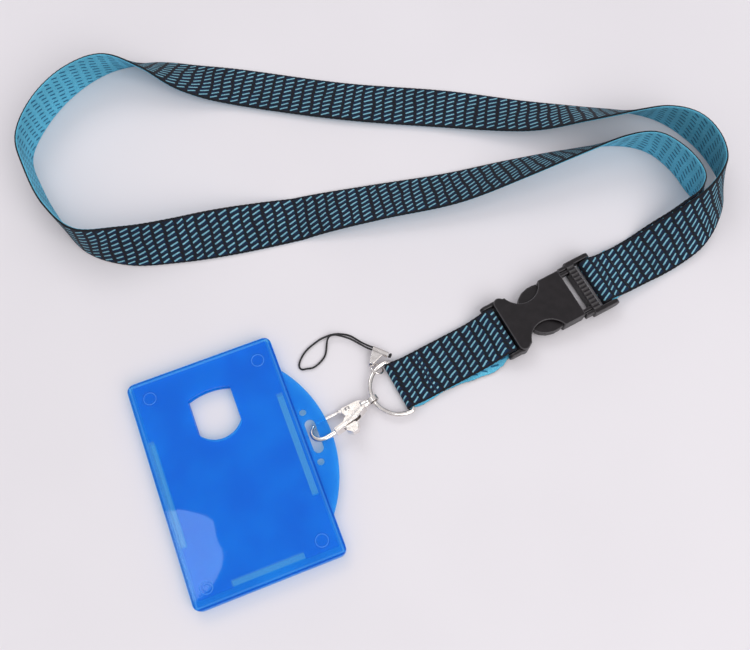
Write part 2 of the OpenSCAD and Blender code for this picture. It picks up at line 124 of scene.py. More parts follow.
# Lamps: name, place and aim in metres, size in metres, watts, colour
LAMPS = [
    ("key", (0.75, -0.85, 1.15), (0, 0, 0), (1.3, 1.3), 14.0, (1.0, 0.99, 0.98)),
    ("back", (-0.5, 0.9, 1.1), (0, 0, 0), (0.9, 0.6), 3.5, (0.97, 0.98, 1.0)),
    ("strip", (-0.325, 0.02, 1.0), (-0.085, -0.09, 0), (0.09, 0.17), 0.22, (1.0, 1.0, 0.95)),
    ("panel", (-0.75, 1.9, 0.5), (0, -0.04, 0), (1.0, 0.4), 1.3, (1.0, 0.97, 0.94)),
]
# Brightness of the sky at the horizon and from the height where it stops growing
SKY_LOW = (0.05, 0.30)
SKY_HIGH = (0.75, 0.78)
SKY_COLOUR = (0.94, 0.92, 0.95, 1)


# ---------------------------------------------------------------- camera
def add_camera():
    """Camera 45 degrees wide, 70.5 degrees above the table."""
    elevation = math.radians(70.5)
    distance = 366.0
    aim = Vector((0.55, -7.4, 0))
    data = bpy.data.cameras.new("camera")
    data.sensor_fit = "HORIZONTAL"
    data.angle = 2 * math.atan(375 / 900)
    data.clip_start = 0.01
    camera = bpy.data.objects.new("camera", data)
    offset = Vector((0, -math.cos(elevation), math.sin(elevation))) * distance
    camera.location = (aim + offset) * MM
    camera.rotation_euler = (math.pi / 2 - elevation, 0, 0)
    bpy.context.scene.collection.objects.link(camera)
    bpy.context.scene.camera = camera


# ---------------------------------------------------------------- curves and meshes
def catmull(points, steps):
    """Smooth curve through the points, with steps parts between two of them."""
    out = []
    last = len(points) - 1
    for i in range(last):
        b, c = points[i], points[i + 1]
        a = points[i - 1] if i > 0 else 2 * b - c
        d = points[i + 2] if i + 2 <= last else 2 * c - b
        for k in range(steps):
            t = k / steps
            out.append(
                0.5 * (2 * b + (c - a) * t + (2 * a - 5 * b + 4 * c - d) * t * t
                       + (3 * b - a - 3 * c + d) * t ** 3)
            )
    out.append(points[last])
    return out


def on_buckle(x, y, z):
    """Point of the buckle's own frame on the table."""
    c, s = math.cos(BUCKLE_TURN), math.sin(BUCKLE_TURN)
    return MIDDLE + BUCKLE + Vector((x * c - y * s, x * s + y * c, z))


ACROSS_BUCKLE = Vector((-math.sin(BUCKLE_TURN), math.cos(BUCKLE_TURN), 0))


def arc(bar, start, end, step):
    """Side view of webbing going round a bar, as (along the buckle, height)."""
    x, z, radius = bar
    count = max(2, int(abs(end - start) / step))
    angles = [math.radians(start + (end - start) * k / count) for k in range(count + 1)]
    return [(x + radius * math.cos(a), z + radius * math.sin(a)) for a in angles]


def side_rings(points, slip=None):
    """Rings for a strap that is drawn from the side of the buckle."""
    rings = []
    for x, z in points:
        y = slip(x) if slip else 0.0
        rings.append((on_buckle(x, y, z), ACROSS_BUCKLE.copy()))
    return rings


def neck_rings():
    """Middle line and cross direction of the neck strap, from its fold to its end."""
    smooth_in = catmull([Vector(p) for p in FOLD_IN + [(43.0, 1.85)]], 8)
    turn = arc(PLUG_BAR, 270, 90, 5)
    slip = 1.0 / (FOLD_IN[0][0] - PLUG_BAR[0])
    rings = side_rings([tuple(p) for p in smooth_in], lambda x: (x - PLUG_BAR[0]) * slip)
    rings += side_rings(turn[1:])
    lead = []
    for x, z in [turn[-1]] + FOLD_OUT:
        p = on_buckle(x, 0, z) - MIDDLE
        lead.append(Vector((p.x, p.y, 0, z - WEB_THICK / 2)))
    points = catmull(lead + [Vector(p) for p in NECK_ROUTE], 20)
    last = len(points) - 1
    for i in range(1, last + 1):
        a, b = points[max(i - 1, 0)], points[min(i + 1, last)]
        head = Vector((b[0] - a[0], b[1] - a[1])).normalized()
        lean = math.radians(points[i][2])
        s, c = math.sin(lean), math.cos(lean)
        height = max(points[i][3], 0) + WEB_WIDTH / 2 * abs(s) + WEB_THICK / 2 * abs(c)
        centre = MIDDLE + Vector((points[i][0], points[i][1], height))
        rings.append((centre, Vector((-head.y * c, head.x * c, s))))
    return rings


def tail_rings():
    """Middle line of the tail strap, once round from its seam to its seam."""

    def slip(x):
        for (x0, y0), (x1, y1) in zip(TAIL_SLIP, TAIL_SLIP[1:]):
            if x0 <= x <= x1:
                t = (x - x0) / (x1 - x0)
                t = t * t * (3 - 2 * t)
                return y0 + (y1 - y0) * t
        return 0.0

    def curve(points):
        return [tuple(p) for p in catmull([Vector(p) for p in points], 10)]

    ring_turn = arc(RING_BAR, 270, 90, 8)
    bar_turn = arc(SOCKET_BAR, 90, -90, 6)
    start = curve(TAIL_START + [ring_turn[0]])
    top = curve([ring_turn[-1]] + TAIL_TOP + [bar_turn[0]])
    end = curve([bar_turn[-1]] + TAIL_END)
    rings = side_rings(start[:-1], slip) + side_rings(ring_turn[:-1])
    rings += side_rings(top[:-1]) + side_rings(bar_turn[:-1]) + side_rings(end, slip)
    return rings


def even_rings(rings, step):
    """The same strap with rings at equal distances, and how far along each one is."""
    run = [0.0]
    for a, b in zip(rings, rings[1:]):
        run.append(run[-1] + (b[0] - a[0]).length)
    count = int(run[-1] / step)
    out, j = [], 0
    for k in range(count + 1):
        s = run[-1] * k / count
        while j < len(run) - 2 and run[j + 1] < s:
            j += 1
        t = (s - run[j]) / max(run[j + 1] - run[j], 1e-9)
        centre = rings[j][0].lerp(rings[j + 1][0], t)
        across = rings[j][1].lerp(rings[j + 1][1], t).normalized()
        out.append((centre, across, s))
    return out


def frames_of(rings):
    """Adds the outward direction of the printed face to each ring."""
    last = len(rings) - 1
    out = []
    for i, (centre, across, s) in enumerate(rings):
        forward = rings[min(i + 1, last)][0] - rings[max(i - 1, 0)][0]
        out.append((centre, across, forward.cross(across).normalized(), s))
    return out


def link_mesh(name, verts, faces):
    """Mesh object from vertices in millimetres."""
    data = bpy.data.meshes.new(name)
    data.from_pydata([tuple(v * MM) for v in verts], [], faces)
    data.polygons.foreach_set("use_smooth", [True] * len(data.polygons))
    data.update()
    thing = bpy.data.objects.new(name, data)
    bpy.context.scene.collection.objects.link(thing)
    return thing


def band_profile():
    """Cross-section of the webbing: across, height, and which face it belongs to."""
    half, thick, edge = WEB_WIDTH / 2, WEB_THICK / 2, WEB_EDGE
    flat = [(-half + edge) + (2 * half - 2 * edge) * k / 16 for k in range(17)]
    top = [(a, thick, 1.0) for a in flat]
    turn = []
    for k in range(1, 6):
        t = math.pi * k / 6
        turn.append((half - edge + edge * math.sin(t), thick * math.cos(t), math.cos(t)))
    back = [(-a, -n, -f) for a, n, f in top]
    return top + turn + back + [(-a, -n, -f) for a, n, f in turn]


def webbing(name, rings):
    """Webbing along rings, with a corded edge; keeps along, across and face as numbers."""
    frames = frames_of(even_rings(rings, RING_STEP))
    profile = band_profile()
    size = len(profile)
    verts, marks = [], []
    for centre, across, normal, s in frames:
        bead = 1 + 0.006 * math.sin(2 * math.pi * s / 2.2)
        for a, n, face in profile:
            edge = max(0.0, abs(a) - 8.6) / 1.4
            swell = 1 + 0.07 * math.sin(math.pi * min(edge, 1.0))
            reach = a * (bead if abs(a) > 9.4 else 1)
            verts.append(centre + across * reach + normal * n * swell)
            marks.append((s, a, face))
    faces = []
    for i in range(len(frames) - 1):
        for k in range(size):
            m = (k + 1) % size
            p, q = i * size, (i + 1) * size
            faces.append((p + k, p + m, q + m, q + k))
    faces.append(tuple(range(size)))
    faces.append(tuple((len(frames) - 1) * size + k for k in reversed(range(size))))
    strap = link_mesh(name, verts, [tuple(reversed(f)) for f in faces])
    layer = strap.data.attributes.new("strap", "FLOAT_VECTOR", "POINT")
    layer.data.foreach_set("vector", [x for m in marks for x in m])
    return strap, frames


def tube(points, radius, sides=10, closed=False, twist=0.0, lobes=0, depth=0.0):
    """Vertices, faces and (along, round) marks of a round cord through points."""
    last = len(points) - 1
    verts, marks, faces = [], [], []
    normal, run = None, 0.0
    for i, p in enumerate(points):
        if closed:
            d = points[(i + 1) % (last + 1)] - points[i - 1]
        else:
            d = points[min(i + 1, last)] - points[max(i - 1, 0)]
        d.normalize()
        if normal is None:
            normal = d.cross(Vector((0, 0, 1)))
            if normal.length < 1e-3:
                normal = d.cross(Vector((1, 0, 0)))
        normal = (normal - d * normal.dot(d)).normalized()
        other = d.cross(normal)
        if i:
            run += (p - points[i - 1]).length
        r = radius(run) if callable(radius) else radius
        for k in range(sides):
            a = 2 * math.pi * k / sides
            b = a + twist * run
            dent = 1 - depth * (0.5 - 0.5 * math.cos(lobes * b)) if lobes else 1.0
            verts.append(p + (normal * math.cos(a) + other * math.sin(a)) * r * dent)
            marks.append((run, a / (2 * math.pi), 0.0))
    spans = last + 1 if closed else last
    for i in range(spans):
        p, q = i * sides, ((i + 1) % (last + 1)) * sides
        for k in range(sides):
            m = (k + 1) % sides
            faces.append((p + k, p + m, q + m, q + k))
    if not closed:
        faces.append(tuple(reversed(range(sides))))
        faces.append(tuple(last * sides + k for k in range(sides)))
    return verts, faces, marks


def join_tubes(name, tubes):
    """One object from several tubes."""
    verts, faces, marks = [], [], []
    for v, f, m in tubes:
        base = len(verts)
        verts += v
        marks += m
        faces += [tuple(base + k for k in face) for face in f]
    thing = link_mesh(name, verts, faces)
    layer = thing.data.attributes.new("strap", "FLOAT_VECTOR", "POINT")
    layer.data.foreach_set("vector", [x for m in marks for x in m])
    return thing


# ---------------------------------------------------------------- materials
class Look:
    """A node material with one Principled shader."""

    def __init__(self, name):
        self.material = bpy.data.materials.new(name)
        self.material.use_nodes = True
        self.tree = self.material.node_tree
        self.tree.nodes.clear()
        self.shader = self.add("ShaderNodeBsdfPrincipled")
        self.out = self.add("ShaderNodeOutputMaterial")
        self.tree.links.new(self.shader.outputs[0], self.out.inputs["Surface"])

    def add(self, kind, ins=None, **props):
        node = self.tree.nodes.new(kind)
        for key, value in props.items():
            setattr(node, key, value)
        for key, value in (ins or {}).items():
            self.put(node.inputs[key], value)
        return node

    def put(self, socket, value):
        if isinstance(value, bpy.types.NodeSocket):
            self.tree.links.new(value, socket)
        else:
            socket.default_value = value

    def set(self, **values):
        """Sets sockets of the main shader: underscores stand for spaces."""
        for key, value in values.items():
            self.put(self.shader.inputs[key.replace("_", " ")], value)

    def math(self, operation, *values):
        node = self.add("ShaderNodeMath", operation=operation)
        for socket, value in zip(node.inputs, values):
            self.put(socket, value)
        return node.outputs[0]

    def mix(self, factor, a, b, blend="MIX"):
        node = self.add("ShaderNodeMix", data_type="RGBA", blend_type=blend)
        self.put(node.inputs[0], factor)
        self.put(node.inputs[6], a if not isinstance(a, tuple) else (*a, 1))
        self.put(node.inputs[7], b if not isinstance(b, tuple) else (*b, 1))
        return node.outputs[2]

    def fade(self, value, low, high, to_low=0.0, to_high=1.0):
        """Smooth change from to_low to to_high as value goes from low to high."""
        node = self.add("ShaderNodeMapRange", interpolation_type="SMOOTHSTEP")
        for key, v in (("Value", value), ("From Min", low), ("From Max", high),
                       ("To Min", to_low), ("To Max", to_high)):
            self.put(node.inputs[key], v)
        return node.outputs[0]

    def inside(self, value, half, soft):
        """1 where the size of value is less than half, 0 outside."""
        return self.fade(self.math("ABSOLUTE", value), half - soft, half + soft, 1.0, 0.0)

    def noise(self, vector, scale, detail=3.0, roughness=0.55):
        node = self.add(
            "ShaderNodeTexNoise",
            {"Vector": vector, "Scale": scale, "Detail": detail, "Roughness": roughness},
        )
        return node.outputs[0]

    def place(self):
        """The piece's own coordinates, in millimetres."""
        node = self.add("ShaderNodeTexCoord")
        scale = self.add("ShaderNodeVectorMath", {0: node.outputs["Object"]}, operation="SCALE")
        scale.inputs["Scale"].default_value = 1000.0
        return scale.outputs[0]

    def bump(self, height, millimetres):
        node = self.add(
            "ShaderNodeBump", {"Height": height, "Strength": 1.0, "Distance": millimetres * MM}
        )
        self.put(self.shader.inputs["Normal"], node.outputs[0])


def webbing_look(name, seam, broken):
    """Woven polyester: black with slanted blue dashes outside, blue inside.

    Where broken is true, the seam's thread cuts one column of dashes into two of dots.
    """
    look = Look(name)
    mark = look.add("ShaderNodeAttribute", attribute_name="strap", attribute_type="GEOMETRY")
    split = look.add("ShaderNodeSeparateXYZ", {"Vector": mark.outputs["Vector"]})
    along, across, face = split.outputs
    # threads, and how the pattern wanders a little
    yarn = look.noise(mark.outputs["Vector"], 2.6, 4.0)
    broad = look.noise(mark.outputs["Vector"], 0.05, 2.0)
    drift = look.noise(mark.outputs["Vector"], 0.11, 1.0)
    wander = look.fade(drift, 0.25, 0.75, -0.5, 0.5)
    # the cell of the pattern that a point lies in
    lifted = look.math("ADD", across, PATTERN_HALF)
    row = look.math("FLOOR", look.math("DIVIDE", lifted, PATTERN_ACROSS))
    row_middle = look.math("MULTIPLY", look.math("ADD", row, 0.5), PATTERN_ACROSS)
    v = look.math("SUBTRACT", lifted, row_middle)
    from_seam = look.math("SUBTRACT", along, seam)
    start = look.math("ADD", from_seam, PATTERN_ALONG / 2 if broken else 0.0)
    start = look.math("FLOORED_MODULO", look.math("ADD", start, wander), PATTERN_ALONG)
    u = look.math("SUBTRACT", start, PATTERN_ALONG / 2)
    # the same point along and across the slanted dash
    c, s = math.cos(PATTERN_SLANT), math.sin(PATTERN_SLANT)
    p = look.math("ADD", look.math("MULTIPLY", u, c), look.math("MULTIPLY", v, s))
    q = look.math("SUBTRACT", look.math("MULTIPLY", v, c), look.math("MULTIPLY", u, s))
    in_rows = look.inside(across, PATTERN_HALF, 0.05)
    ragged = look.math("MULTIPLY", look.math("SUBTRACT", yarn, 0.5), 0.5)
    p_rag = look.math("ADD", p, ragged)
    q_rag = look.math("ADD", q, look.math("MULTIPLY", ragged, 0.35))
    dash = look.math("MULTIPLY", look.inside(p_rag, 1.70, 0.18), look.inside(q_rag, 0.29, 0.10))
    dash = look.math("MULTIPLY", dash, in_rows)
    wide = look.math("MULTIPLY", look.inside(p_rag, 1.45, 0.25), look.inside(q_rag, 0.38, 0.14))
    wide = look.math("MULTIPLY", wide, in_rows)
    patch = look.inside(look.math("MULTIPLY_ADD", ragged, 1.6, p), 1.62, 0.22)
    below = look.inside(look.math("ADD", q_rag, 0.45), 0.78, 0.3)
    patch = look.math("MULTIPLY", patch, look.math("MULTIPLY_ADD", below, 0.55, 0.4))
    patch = look.math("MULTIPLY", patch, in_rows)
    if broken:
        size = look.math("ABSOLUTE", u)
        inner_end, outer_end = look.fade(size, 0.35, 0.6), look.fade(size, 1.2, 1.45, 1.0, 0.0)
        gap = look.math("SUBTRACT", 1.0, look.math("MULTIPLY", inner_end, outer_end))
        cut = look.math("MULTIPLY", look.inside(from_seam, 2.1, 0.15), gap)
        dash = look.math("MULTIPLY", dash, look.math("SUBTRACT", 1.0, cut))
    # weave ribs
    weft = look.math("SINE", look.math("MULTIPLY", along, 2 * math.pi / 0.62))
    warp = look.math("SINE", look.math("MULTIPLY", across, 2 * math.pi / 0.74))
    weave = look.math("MULTIPLY", weft, warp)
    shade = look.fade(weave, -1.0, 1.0, 0.74, 1.14)
    # outer face
    speck = look.noise(mark.outputs["Vector"], 0.9, 2.0)
    black = look.mix(look.fade(speck, 0.42, 0.62), (0.007, 0.012, 0.012), (0.017, 0.009, 0.018))
    black = look.mix(look.fade(yarn, 0.3, 0.7), (0.006, 0.006, 0.008), black)
    navy = look.mix(look.fade(yarn, 0.35, 0.65), (0.002, 0.010, 0.036), (0.007, 0.030, 0.075))
    outer = look.mix(patch, black, navy)
    light = look.mix(look.fade(yarn, 0.3, 0.7), (0.12, 0.33, 0.43), (0.27, 0.55, 0.65))
    outer = look.mix(dash, outer, light)
    # inner face
    cyan = look.mix(look.fade(yarn, 0.3, 0.7), (0.065, 0.38, 0.58), (0.16, 0.56, 0.74))
    deep = look.mix(look.fade(yarn, 0.3, 0.7), (0.006, 0.065, 0.14), (0.018, 0.14, 0.28))
    inner = look.mix(look.math("MULTIPLY", wide, 0.92), cyan, deep)
    colour = look.mix(look.fade(face, -0.45, -0.25), inner, outer)
    edge = look.fade(look.math("ABSOLUTE", across), 9.4, 9.6)
    edge = look.math("MULTIPLY", edge, look.fade(face, -0.25, 0.1))
    colour = look.mix(edge, colour, (0.010, 0.011, 0.015))
    tone = look.math("MULTIPLY", shade, look.fade(broad, 0.3, 0.7, 0.9, 1.1))
    grey = look.add("ShaderNodeCombineColor", {"Red": tone, "Green": tone, "Blue": tone})
    colour = look.mix(1.0, colour, grey.outputs[0], "MULTIPLY")
    look.set(Base_Color=colour, Roughness=look.fade(yarn, 0.2, 0.8, 0.66, 0.88))
    look.set(Sheen_Weight=0.03, Sheen_Roughness=0.6, Specular_IOR_Level=0.16)
    raised = look.math("ADD", look.math("MULTIPLY", weave, 0.3), look.math("MULTIPLY", dash, 0.5))
    raised = look.math("ADD", raised, look.math("MULTIPLY", yarn, 0.4))
    look.bump(raised, 0.09)
    return look.material


def thread_look(name, colour, pitch, roughness):
    """Twisted or braided thread: fine slanted ribs along a cord, with painted shade in the grooves
    between them.
    """
    look = Look(name)
    mark = look.add("ShaderNodeAttribute", attribute_name="strap", attribute_type="GEOMETRY")
    split = look.add("ShaderNodeSeparateXYZ", {"Vector": mark.outputs["Vector"]})
    along, around = split.outputs[0], split.outputs[1]
    turn = look.math("MULTIPLY", around, 2 * math.pi * 4)
    run = look.math("MULTIPLY", along, 2 * math.pi / pitch)
    one = look.math("SINE", look.math("ADD", run, turn))
    two = look.math("SINE", look.math("SUBTRACT", run, turn))
    braid = look.math("MAXIMUM", one, two)
    grain = look.noise(look.place(), 3.0)
    # painted shade: darker in the grooves between the strands
    groove_shade = tuple(0.45 * x for x in colour)
    base = look.mix(look.fade(braid, -0.2, 1.0), groove_shade, colour)
    base = look.mix(look.fade(grain, 0.35, 0.75, 0.0, 0.35), base, tuple(1.9 * x for x in colour))
    look.set(Base_Color=base, Roughness=look.fade(grain, 0.2, 0.8, roughness, roughness + 0.2))
    look.set(Sheen_Weight=0.1, Specular_IOR_Level=0.35)
    look.bump(look.math("ADD", braid, look.math("MULTIPLY", grain, 0.4)), 0.05)
    return look.material


def plastic_look(name):
    """Black moulded plastic with a fine satin grain, and paler edges that are partly rubbed wear
    and partly a painted highlight.
    """
    look = Look(name)
    at = look.place()
    fine = look.noise(at, 6.0, 3.0)
    cloud = look.noise(at, 0.35, 3.0)
    edge_sharpness = look.add("ShaderNodeNewGeometry").outputs["Pointiness"]
    # paler edges: partly rubbed wear, partly a painted highlight along the rounded edges
    wear_and_highlight = look.fade(edge_sharpness, 0.502, 0.535)
    base = look.mix(look.fade(cloud, 0.3, 0.7), (0.0046, 0.0030, 0.0040), (0.0082, 0.0056, 0.0072))
    base = look.mix(look.math("MULTIPLY", wear_and_highlight, 0.75), base, (0.085, 0.080, 0.085))
    rough = look.fade(cloud, 0.3, 0.7, 0.28, 0.38)
    rough = look.math("ADD", rough, look.math("MULTIPLY", fine, 0.06))
    look.set(Base_Color=base, Roughness=rough, Specular_IOR_Level=0.36)
    look.bump(look.math("ADD", fine, look.math("MULTIPLY", cloud, 1.5)), 0.012)
    return look.material


def nickel_look(name):
    """Bright nickel plate with soft casting waves and fine scratches, and painted shade darkening
    its hollows.
    """
    look = Look(name)
    at = look.place()
    stretch = look.add("ShaderNodeMapping", {"Vector": at, "Scale": (0.35, 3.5, 1.5)})
    scratch = look.noise(stretch.outputs[0], 2.2, 5.0, 0.7)
    wave = look.noise(at, 0.55, 2.0)
    pit = look.noise(at, 7.0, 2.0)
    base = look.mix(look.fade(wave, 0.35, 0.7), (0.76, 0.72, 0.69), (0.88, 0.85, 0.82))
    base = look.mix(look.fade(scratch, 0.62, 0.78, 0.0, 0.35), base, (0.50, 0.48, 0.45))
    surface_curvature = look.add("ShaderNodeNewGeometry").outputs["Pointiness"]
    # painted shade: darker in the hollows and crevices, such as round the rivet
    base = look.mix(look.fade(surface_curvature, 0.44, 0.496, 0.85, 0.0), base, (0.10, 0.085, 0.075))
    rough = look.fade(scratch, 0.35, 0.75, 0.08, 0.22)
    look.set(Base_Color=base, Metallic=1.0, Roughness=rough)
    height = look.math("ADD", wave, look.math("MULTIPLY", pit, 0.12))
    height = look.math("ADD", height, look.math("MULTIPLY", scratch, 0.15))
    look.bump(height, 0.06)
    return look.material


def holder_look(name):
    """Clear blue plastic: light passes straight through, each skin adds colour."""
    look = Look(name)
    at = look.place()
    cloud = look.noise(at, 0.06, 3.0)
    grain = look.noise(at, 1.6, 4.0)
    warp = look.noise(at, 0.045, 0.0)
    stretch = look.add("ShaderNodeMapping", {"Vector": at, "Scale": (0.25, 2.4, 1.0)})
    stretch.inputs["Rotation"].default_value = (0, 0, math.radians(35))
    scuff = look.noise(stretch.outputs[0], 0.9, 6.0, 0.75)
    # the holder's own frame: x across, y towards the thumb hole
    own = look.add("ShaderNodeMapping", {"Vector": at}, vector_type="TEXTURE")
    own.inputs["Location"].default_value = MIDDLE + HOLDER
    own.inputs["Rotation"].default_value = (0, 0, HOLDER_TURN)
    x, y, z = look.add("ShaderNodeSeparateXYZ", {"Vector": own.outputs[0]}).outputs
    half_x, half_y = HOLDER_SIZE
    from_side = look.math("SUBTRACT", half_x, look.math("ABSOLUTE", x))
    from_end = look.math("SUBTRACT", half_y, look.math("ABSOLUTE", y))
    from_rim = look.math("MINIMUM", from_side, from_end)
    upper = look.fade(z, 3.2, 3.5)

    def ring(cx, cy, radius, half):
        dx, dy = look.math("SUBTRACT", x, cx), look.math("SUBTRACT", y, cy)
        far = look.math("SQRT", look.math("MULTIPLY_ADD", dx, dx, look.math("MULTIPLY", dy, dy)))
        return look.inside(look.math("SUBTRACT", far, radius), half, 0.12)

    def strip(cx, cy, wide, high):
        dx, dy = look.math("SUBTRACT", x, cx), look.math("SUBTRACT", y, cy)
        return look.math("MULTIPLY", look.inside(dx, wide, 0.1), look.inside(dy, high, 0.1))

    marks = ring(*ROUND_MARK, MARK_RADIUS / 2, 0.2)
    for cx, cy in EJECTOR_MARKS + [ROUND_MARK]:
        marks = look.math("MAXIMUM", marks, ring(cx, cy, MARK_RADIUS, 0.2))
    marks = look.math("MULTIPLY", marks, upper)
    panes = strip(-26.7, -0.2, 1.2, 21.1)
    panes = look.math("MAXIMUM", panes, strip(25.65, 0.5, 1.25, 21.0))
    panes = look.math("MAXIMUM", panes, strip(0.1, -40.0, 14.1, 1.2))
    # the weld line inside the rim; the paler line on its inner side is a painted highlight
    seam = look.inside(look.math("SUBTRACT", from_rim, 0.5), 0.22, 0.1)
    seam = look.math("MULTIPLY", seam, upper)
    # painted highlight: a paler line 1.3 mm inside the rim
    rim_highlight = look.inside(look.math("SUBTRACT", from_rim, 1.3), 0.22, 0.12)
    rim_highlight = look.math("MULTIPLY", rim_highlight, upper)
    body = look.mix(look.fade(cloud, 0.3, 0.7), (0.001, 0.21, 0.90), (0.003, 0.27, 0.99))
    body = look.mix(look.math("MULTIPLY", panes, 0.8), body, (0.10, 0.42, 0.86))
    body = look.mix(look.math("MULTIPLY", seam, 0.8), body, (0.004, 0.06, 0.55))
    # painted highlight along the inside of the rim
    body = look.mix(look.math("MULTIPLY", rim_highlight, 0.8), body, (0.16, 0.50, 0.97))
    body = look.mix(look.math("MULTIPLY", marks, 0.6), body, (0.22, 0.55, 0.98))
    rough = look.math(
        "ADD", look.fade(scuff, 0.62, 0.85, 0.02, 0.10), look.fade(cloud, 0.3, 0.7, 0.0, 0.015)
    )
    look.set(Base_Color=body, Roughness=rough, IOR=1.49, Specular_IOR_Level=0.6)
    height = look.math("MULTIPLY", grain, 0.02)
    height = look.math("MULTIPLY_ADD", warp, 60.0, height)
    height = look.math("MULTIPLY_ADD", seam, -14.0, height)
    look.bump(height, 0.010)
    tint = look.mix(look.fade(cloud, 0.3, 0.7), (0.31, 0.84, 1.0), (0.35, 0.87, 1.0))
    tint = look.mix(seam, tint, (0.10, 0.40, 0.85))
    # the painted highlight along the rim also lets more light through
    tint = look.mix(look.math("MULTIPLY", rim_highlight, 0.7), tint, (0.66, 0.92, 1.0))
    tint = look.mix(look.math("MULTIPLY", marks, 0.35), tint, (0.66, 0.93, 1.0))
    tint = look.mix(panes, tint, (0.62, 0.90, 0.98))
    clear = look.add("ShaderNodeBsdfTransparent", {"Color": tint})
    both = look.add("ShaderNodeMixShader", {0: 0.62})
    look.tree.links.new(look.shader.outputs[0], both.inputs[1])
    look.tree.links.new(clear.outputs[0], both.inputs[2])
    look.tree.links.new(both.outputs[0], look.out.inputs["Surface"])
    return look.material


def floor_look(name):
    """Pale matt table top."""
    look = Look(name)
    at = look.place()
    cloud = look.noise(at, 0.01, 2.0)
    grain = look.noise(at, 1.2, 3.0)
    base = look.mix(look.fade(cloud, 0.3, 0.7), (0.735, 0.712, 0.740), (0.755, 0.732, 0.760))
    look.set(Base_Color=base, Roughness=0.75, Specular_IOR_Level=0.2)
    look.bump(grain, 0.01)
    return look.material


# ---------------------------------------------------------------- pieces
def give(thing, material):
    """Puts one material on a CAD node or a new piece."""
    if thing.material_slots:
        for slot in thing.material_slots:
            slot.material = material
    else:
        thing.data.materials.append(material)


def close_gaps(node):
    """Joins the points that a CAD mesh has twice."""
    weld = node.modifiers.new("weld", "WELD")
    weld.merge_threshold = WELD_GAP * MM


def soften(name, voxel, passes):
    """Rounds the edges of a moulded or cast CAD node, as tooling leaves them."""
    node = NODES[name]
    close_gaps(node)
    skin = node.modifiers.new("skin", "REMESH")
    skin.mode = "VOXEL"
    skin.voxel_size = voxel * MM
    skin.use_smooth_shade = True
    ease = node.modifiers.new("ease", "SMOOTH")
    ease.factor = 0.5
    ease.iterations = passes


def along_at(frames, point, low, high):
    """How far along a strap the point is, looked for between low and high."""
    some = [f for f in frames if low <= f[3] <= high]
    return min(some, key=lambda f: (f[0] - point).length)[3]


def stitches(name, frames, seam):
    """Thread stitches that lie on the printed face across a strap."""
    pitch = 2 * STITCH_HALF / STITCH_COUNT
    reach = 0.42 * pitch
    nearest = min(range(len(frames)), key=lambda n: abs(frames[n][3] - seam))
    centre, across, normal, _ = frames[nearest]
    parts = []
    for k in range(STITCH_COUNT):
        y = -STITCH_HALF + (k + 0.5) * pitch
        path = []
        for t in (-1, -0.8, -0.4, 0, 0.4, 0.8, 1):
            lift = 0.30 + 0.34 * (1 - t ** 4)
            path.append(centre + across * (y + reach * t) + normal * lift)
        parts.append(tube(path, 0.17, 8, twist=5.0, lobes=3, depth=0.18))
    return join_tubes(name, parts)


def knot_path():
    """A small overhand knot, drawn tight."""
    points = []
    for k in range(72):
        a = 2 * math.pi * k / 72
        r = 0.52 + 0.24 * math.cos(3 * a)
        p = Vector((0.26 * math.sin(3 * a), r * math.cos(2 * a), r * math.sin(2 * a)))
        turn = math.radians(-23.8)
        x = p.x * math.cos(turn) - p.y * math.sin(turn)
        y = p.x * math.sin(turn) + p.y * math.cos(turn)
        points.append(KNOT_CENTRE + MIDDLE + Vector((x, y, p.z)))
    return points


CLASP = MIDDLE + Vector((-0.88, -39.1, 3.2))
CLASP_AXES = (
    Vector((-0.848048, -0.529919, 0)),
    Vector((0.454229, -0.726919, 0.515038)),
    Vector((-0.272929, 0.436777, 0.857167)),
)
PIVOT = (10.4, -1.8)


def on_clasp(x, y, z):
    """Point of the clasp's own frame on the table."""
    return CLASP + CLASP_AXES[0] * x + CLASP_AXES[1] * y + CLASP_AXES[2] * z


def turned(name, profile, x, y, sides=40):
    """A turned part on the clasp: profile of (radius, height) about the clasp's thickness."""
    verts, faces = [], []
    for radius, height in profile:
        for k in range(sides):
            a = 2 * math.pi * k / sides
            verts.append(on_clasp(x + radius * math.cos(a), y + radius * math.sin(a), height))
    for i in range(len(profile) - 1):
        for k in range(sides):
            m = (k + 1) % sides
            p, q = i * sides, (i + 1) * sides
            faces.append((p + k, p + m, q + m, q + k))
    faces.append(tuple(reversed(range(sides))))
    faces.append(tuple((len(profile) - 1) * sides + k for k in range(sides)))
    return link_mesh(name, verts, faces)


def rivet():
    """The trigger's pin with its peened head: a flange, a dished ring and a low dome."""
    profile = [(0.44, -1.5), (0.5, -1.44), (0.5, 1.38), (1.02, 1.38), (1.1, 1.42), (1.1, 1.5),
               (1.03, 1.56), (0.9, 1.57), (0.82, 1.52), (0.78, 1.42), (0.68, 1.42), (0.62, 1.54),
               (0.5, 1.58), (0.3, 1.6), (0.08, 1.6)]
    return turned("clasp_rivet", profile, *PIVOT)


def spine():
    """Raised rib on the clasp's front face, from the swivel to the hook."""
    line = catmull([Vector((x, y, 1.28)) for x, y in (
        (5.4, 0.9), (8, 1.7), (10.8, 2.9), (13.4, 4.0), (16, 4.35), (18.6, 4.55))], 8)
    points = [on_clasp(*p) for p in line]
    return join_tubes("clasp_spine", [tube(points, lambda run: 0.42 * (1 - 0.25 * run / 14.0), 14)])


def coil():
    """Torsion spring round the trigger's pin."""
    points = []
    for k in range(100):
        a = 2 * math.pi * 3.25 * k / 99
        x, y = PIVOT[0] + 0.86 * math.cos(a), PIVOT[1] + 0.86 * math.sin(a)
        points.append(on_clasp(x, y, 0.29 + 0.26 * k / 99))
    return join_tubes("clasp_coil", [tube(points, 0.045, 8)])


